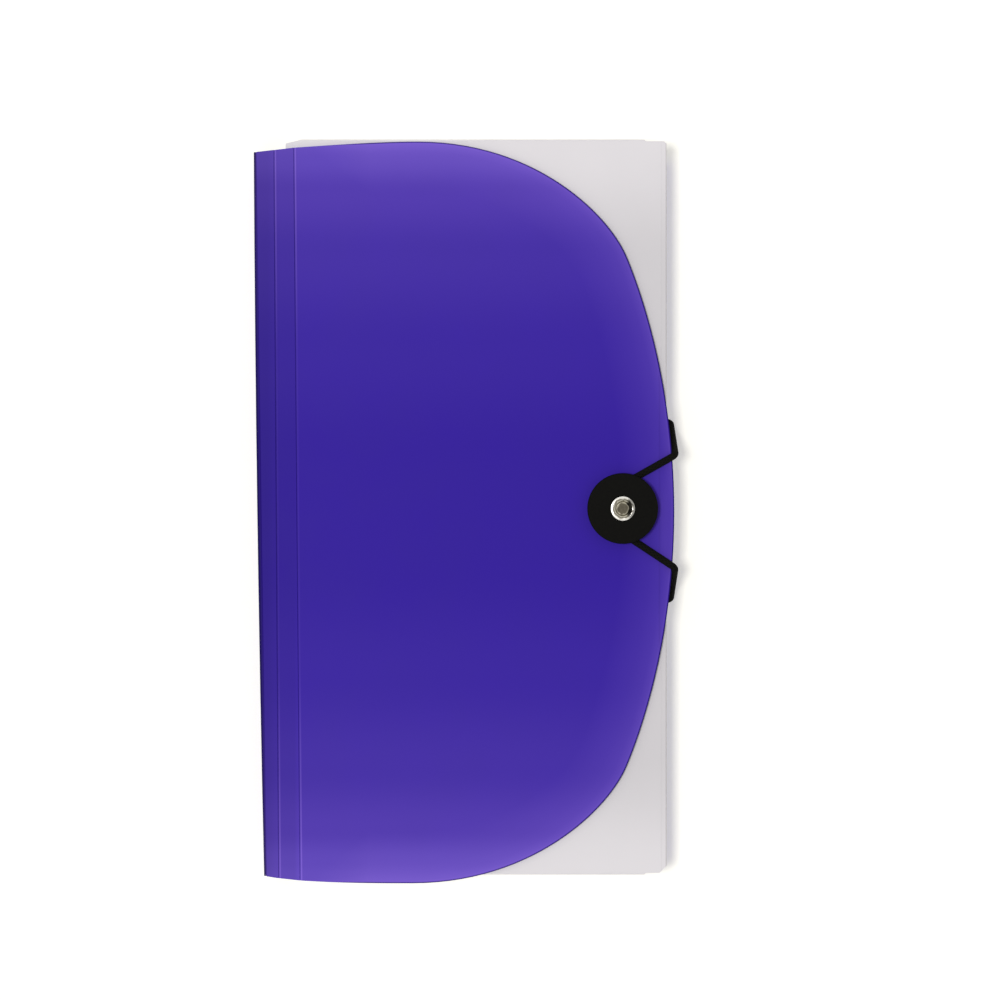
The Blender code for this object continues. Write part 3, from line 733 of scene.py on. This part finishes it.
gusset_film = frosted("gusset_film", (0.71, 0.69, 0.705), 0.5, 2600.0)
mouth_cut = Vector((0.0056, 0.0014))  # how far the cut runs along and in from each ridge at the mouth
for number in range(1, 14):
    shape = whole_faces(f"gusset_{number:02d}")
    low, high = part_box(f"gusset_{number:02d}")
    for side, ridge_y in ((1, high.y), (-1, low.y)):
        facing = Vector((mouth_cut.y, -side * mouth_cut.x, 0)).normalized()
        trim(shape, Vector((low.x, ridge_y - side * mouth_cut.y, 0)), facing)
    ease_edges(shape, radius=0.00004, segments=1)
    pleat = piece_from(shape, f"pleat_{number:02d}", gusset_film, "gusset_film", f"gusset_{number:02d}")
    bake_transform(pleat)


# Button
# Black matt plastic disc turned with a soft edge and a very slight dome, on a short spacer that the
# elastic hooks round.

button_axis = Vector((spine_x + button_place.x, middle_y + button_place.y, 0))


def spun(profile, steps=96):
    """Round shape from (radius, height) points, run round the button's axis."""
    shape = bmesh.new()
    points = [shape.verts.new((radius, 0, height)) for radius, height in profile]
    line = [shape.edges.new(pair) for pair in zip(points, points[1:])]
    bmesh.ops.spin(
        shape, geom=points + line, cent=(0, 0, 0), axis=(0, 0, 1), angle=math.tau, steps=steps, use_merge=True
    )
    bmesh.ops.remove_doubles(shape, verts=shape.verts, dist=0.000002)
    for face in shape.faces:
        face.smooth = True
    bmesh.ops.translate(shape, verts=shape.verts, vec=button_axis)
    return shape


def arc(centre, radius, start, end, steps):
    """Points of a round edge in the profile, by angle from outward to up."""
    angles = [math.radians(start + (end - start) * step / steps) for step in range(steps + 1)]
    return [(centre[0] + radius * math.cos(angle), centre[1] + radius * math.sin(angle)) for angle in angles]


black_plastic, tree, shader = new_finish("button_plastic")
place = add(tree, "TexCoord").outputs["Object"]
speckle = add(tree, "TexNoise", {"Vector": place, "Scale": 1500.0, "Detail": 4.0}).outputs[0]
feed(tree, shader, {
    "Base Color": ramp(tree, speckle, ((0.0, (0.0022, 0.0021, 0.0018)), (1.0, (0.0060, 0.0058, 0.0048)))),
    "Roughness": 0.72,
    "Specular IOR Level": 0.05,
    "Normal": grain(tree, place, 2600.0, 0.00003),
})

disc_bottom, disc_top = disc_low.z, disc_high.z
disc_radius = (disc_high.x - disc_low.x) / 2
bore = 0.00315
edge_round = 0.00055
dome = 0.00012
profile = [(bore, disc_bottom)]
profile += arc((disc_radius - edge_round, disc_bottom + edge_round), edge_round, -90, 0, 6)
profile += arc((disc_radius - edge_round, disc_top - dome - edge_round), edge_round, 0, 86, 7)
profile += [(disc_radius * 0.7, disc_top - dome / 2), (disc_radius * 0.4, disc_top)]
profile += [(bore, disc_top), (bore, disc_bottom)]
disc = piece_from(spun(profile), "button_cap", black_plastic, "button_plastic", "button_disc")
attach(disc, "button")
dress("button_spacer", black_plastic)


# Eyelet
# Pressed nickel rivet with a rolled rim and a shallow cup. It holds the disc and the spacer to the flap,
# and a washer spreads its foot underneath.

barrel_foot, flange_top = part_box("eyelet")[0].z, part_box("eyelet")[1].z
flange_bottom = flange_top - 0.0005
barrel_radius = 0.0029
flange_radius = 0.00425
roll = 0.00025
crown_outside, crown_inside, crown_dip = 0.0036, 0.0032, 0.00006
cup_radius = 0.00255
cup_lip, cup_lip_height = 0.0003, flange_top - 0.0005
cup_floor = flange_top - 0.0013
cup_taper = 0.00010
cup_foot_width, cup_foot_height = 0.00035, 0.0003


def plated(name, colour, roughness):
    """Plated metal with the faint smears of a pressed part, and its tone before any painted shade and
    reflections.
    """
    finish, tree, shader = new_finish(name)
    place = add(tree, "TexCoord").outputs["Object"]
    smear = add(tree, "TexNoise", {"Vector": place, "Scale": 700.0, "Detail": 3.0}).outputs[0]
    tone = ramp(tree, smear, ((0.0, [level * 0.86 for level in colour]), (1.0, colour)))
    feed(tree, shader, {
        "Base Color": tone,
        "Metallic": 1.0,
        "Roughness": graded(tree, smear, 0.3, 0.7, roughness * 0.8, roughness * 1.3),
        "Normal": add(tree, "Bump", {"Strength": 0.3, "Distance": 0.00004, "Height": smear}).outputs[0],
    })
    return finish, tree, shader, tone


bright_nickel, tree, shader, tone = plated("bright_nickel", (0.86, 0.84, 0.79), 0.16)

# Painted shade and dark reflections lie in rings round the cup and wander a little, darkest on the cup's floor.
# The radii in it are millimetres.
place = add(tree, "TexCoord").outputs["Object"]
from_axis = vector_calc(tree, "SUBTRACT", place, button_axis)
flat = vector_calc(tree, "MULTIPLY", from_axis, (1000, 1000, 0))
radius = add(tree, "VectorMath", {0: flat}, operation="LENGTH").outputs["Value"]
wander = add(tree, "TexNoise", {"Vector": flat, "Scale": 0.55, "Detail": 2.0}).outputs[0]
ringed = calc(tree, "ADD", radius, graded(tree, wander, 0.3, 0.7, -0.35, 0.35))
shade_and_reflection_rings = ramp(
    tree,
    graded(tree, ringed, 0.0, flange_radius * 1000),
    (
        (0.0, (0.105, 0.095, 0.075)),
        (0.40, (0.115, 0.105, 0.080)),
        (0.50, (0.40, 0.38, 0.31)),
        (0.64, (0.62, 0.60, 0.51)),
        (0.71, (0.12, 0.11, 0.08)),
        (0.80, (0.62, 0.60, 0.55)),
        (0.88, (0.97, 0.97, 0.95)),
        (1.0, (0.95, 0.95, 0.93)),
    ),
)

# Painted shade and a dark reflection darken the cup and rim on the side that faces the flap's tip.
toward_tip = calc(tree, "DIVIDE", add(tree, "SeparateXYZ", {0: flat}).outputs["X"], radius)
tip_side = graded(tree, toward_tip, 0.35, 0.75, ease="SMOOTHSTEP")
in_cup = graded(tree, ringed, 1.9, 2.3, ease="SMOOTHSTEP")
off_rim = graded(tree, ringed, 3.4, 3.9, 1.0, 0.0, ease="SMOOTHSTEP")
painted_dark_crescent = calc(tree, "MULTIPLY", calc(tree, "MULTIPLY", in_cup, off_rim), tip_side)
dim_rim = calc(tree, "MULTIPLY", graded(tree, radius, 3.3, 3.6, 0.0, 0.62), tip_side)
crescent_shade = graded(tree, calc(tree, "MAXIMUM", painted_dark_crescent, dim_rim), 0.0, 1.0, 1.0, 0.05)
shaded_tone = add(tree, "Mix", {0: 1.0, 6: tone, 7: shade_and_reflection_rings}, data_type="RGBA", blend_type="MULTIPLY").outputs[2]
feed(tree, shader, {"Base Color": vector_calc(tree, "SCALE", shaded_tone, Scale=crescent_shade)})

profile = [(0, barrel_foot), (barrel_radius, barrel_foot), (barrel_radius, flange_bottom)]
profile += arc((flange_radius - roll, flange_bottom + roll), roll, -90, 60, 8)
profile += [(crown_outside, flange_top), (crown_inside, flange_top - crown_dip)]
profile += arc((cup_radius + cup_lip, cup_lip_height), cup_lip, 90, 180, 5)
profile += [(cup_radius - cup_taper, cup_floor + cup_foot_height)]
profile += [(cup_radius - cup_foot_width, cup_floor), (0, cup_floor)]
eyelet = piece_from(spun(profile, 64), "eyelet_rivet", bright_nickel, "rivet_metal", "eyelet")
eyelet.data.set_sharp_from_angle(angle=math.radians(50))
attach(eyelet, "flap_panel")
dress("eyelet_washer", bright_nickel)


# Elastic
# Round black braided cord, 2.5 mm thick. It comes out of the two holes in the back cover's lip, runs up
# past the flap's edge and goes round the button's spacer. A steel barb on each end keeps it in its hole.

cord_radius = 0.00125
cord_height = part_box("elastic_loop")[0].z + cord_radius
braided, tree, shader = new_finish("elastic_cord")
along_cord = add(tree, "UVMap", uv_map="cord").outputs[0]
ribs = []
for turn in (32, -32):
    slant = (0, 0, math.radians(turn))
    slanted = add(tree, "Mapping", {"Vector": along_cord, "Rotation": slant}).outputs[0]
    wave = add(tree, "TexWave", {"Vector": slanted, "Scale": 0.35, "Distortion": 0.4, "Detail Scale": 2.0})
    ribs.append(wave.outputs["Fac"])
crossing = calc(tree, "MAXIMUM", *ribs)
feed(tree, shader, {
    "Base Color": ramp(tree, crossing, ((0.0, (0.0012, 0.0012, 0.0010)), (1.0, (0.0070, 0.0068, 0.0055)))),
    "Roughness": 0.85,
    "Specular IOR Level": 0.06,
    "Normal": add(tree, "Bump", {"Strength": 0.8, "Distance": 0.00012, "Height": crossing}).outputs[0],
})

bend_steps = 10


def round_route(corners, bend):
    """A route's corners turned into arcs of this bend radius."""
    points = [corners[0]]
    for before, corner, after in zip(corners, corners[1:], corners[2:]):
        back, ahead = (before - corner).normalized(), (after - corner).normalized()
        half = back.angle(ahead) / 2
        first = corner + back * (bend / math.tan(half))
        centre = corner + (back + ahead).normalized() * (bend / math.sin(half))
        arm = first - centre
        axis = arm.cross(ahead).normalized()
        for step in range(bend_steps + 1):
            turn = Matrix.Rotation((math.pi - 2 * half) * step / bend_steps, 3, axis)
            points.append(centre + turn @ arm)
    points.append(corners[-1])
    return points


def spaced(points, step=0.0006):
    """The same route with extra points along its straight runs."""
    made = [points[0]]
    for start, end in zip(points, points[1:]):
        count = max(1, round((end - start).length / step))
        made += [start.lerp(end, part / count) for part in range(1, count + 1)]
    return made


def cord_along(points, sides=14):
    """Round cord: a ring drawn out along the points, with a UV map of millimetres round and along it."""
    shape = bmesh.new()
    ring = bmesh.ops.create_circle(shape, segments=sides, radius=cord_radius)["verts"]
    heading = (points[1] - points[0]).normalized()
    turn = Vector((0, 0, 1)).rotation_difference(heading).to_matrix()
    bmesh.ops.rotate(shape, verts=ring, cent=(0, 0, 0), matrix=turn)
    bmesh.ops.translate(shape, verts=ring, vec=points[0])
    first_edges = edges = shape.edges[:]
    place_of = {corner: (column, 0) for column, corner in enumerate(ring)}
    travelled = [0.0]
    for row in range(1, len(points)):
        run = points[row] - points[row - 1]
        after = points[min(row + 1, len(points) - 1)] - points[row]
        new_heading = (run.normalized() + after.normalized()).normalized() if after.length else run.normalized()
        drawn_out = bmesh.ops.extrude_edge_only(shape, edges=edges)
        ring = of_kind(drawn_out, bmesh.types.BMVert)
        edges = of_kind(drawn_out, bmesh.types.BMEdge)
        edges = [edge for edge in edges if all(end in ring for end in edge.verts)]
        turn = heading.rotation_difference(new_heading).to_matrix()
        bmesh.ops.rotate(shape, verts=ring, cent=points[row - 1], matrix=turn)
        bmesh.ops.translate(shape, verts=ring, vec=run)
        heading = new_heading
        place_of.update({corner: (column, row) for column, corner in enumerate(ring)})
        travelled.append(travelled[-1] + run.length)
    layer = shape.loops.layers.uv.new("cord")
    rib_width = math.tau * cord_radius / sides
    for face in shape.faces:
        face.smooth = True
        columns = [place_of[loop.vert][0] for loop in face.loops]
        over_seam = max(columns) - min(columns) > 1
        for loop in face.loops:
            column, row = place_of[loop.vert]
            if over_seam and column == 0:
                column = sides
            loop[layer].uv = (column * rib_width * 1000, travelled[row] * 1000)
    for end_edges in (first_edges, edges):
        bmesh.ops.contextual_create(shape, geom=end_edges)
    return shape


# Each strand leaves its hole level, turns up the file's edge and turns in over the flap to the spacer.
hole_height = 0.0033
hole_reach = 0.1423
clear_of_lip = 0.1445
cord_bend = 0.0016
spacer_radius, spacer_gap = 0.0056, 0.0003
hub_radius = spacer_radius + spacer_gap + cord_radius
strand_places = {  # the corner at the flap's edge, the hole's place along the lip, and the angle at the spacer
    "a": (Vector((0.1452800, 0.019800, cord_height)), 0.03165, 2.0826198),
    "b": (Vector((0.1452000, -0.019550, cord_height)), -0.03115, -2.1493547),
}


def by_spacer(angle):
    """Point on the cord's centre line where it goes round the spacer."""
    way = Vector((math.cos(angle), math.sin(angle)))
    return Vector((*(button_place + way * hub_radius), cord_height))


over_flap = {}
for letter, (edge_corner, hole_y, hub_angle) in strand_places.items():
    hole = Vector((hole_reach, hole_y, hole_height))
    corners = [hole, Vector((clear_of_lip, hole_y, hole_height)), edge_corner, by_spacer(hub_angle)]
    route = [spine_fold + point for point in round_route(corners, cord_bend)]
    second_bend = bend_steps + 2  # its points come after the hole's and those of the first bend
    halfway = route[second_bend - 1].lerp(route[second_bend], 0.5)
    over_flap[letter] = [halfway] + route[second_bend:]
    side_run = cord_along(spaced(route[:second_bend] + [halfway]))
    name = f"elastic_run_{letter}"
    side_run_piece = piece_from(side_run, name, braided, "elastic_cord", f"elastic_side_{letter}")
    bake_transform(side_run_piece)

first, last = strand_places["a"][2], math.tau + strand_places["b"][2]
hub_steps = 36
round_hub = [spine_fold + by_spacer(first + (last - first) * step / hub_steps) for step in range(1, hub_steps)]
loop_route = over_flap["a"] + round_hub + list(reversed(over_flap["b"]))
loop_piece = piece_from(cord_along(spaced(loop_route)), "elastic_over", braided, "elastic_cord", "elastic_loop")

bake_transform(loop_piece)

steel = plated("barb_steel", (0.52, 0.52, 0.51), 0.35)[0]
for node in ("cord_stop_a", "cord_stop_b"):
    dress(node, steel)
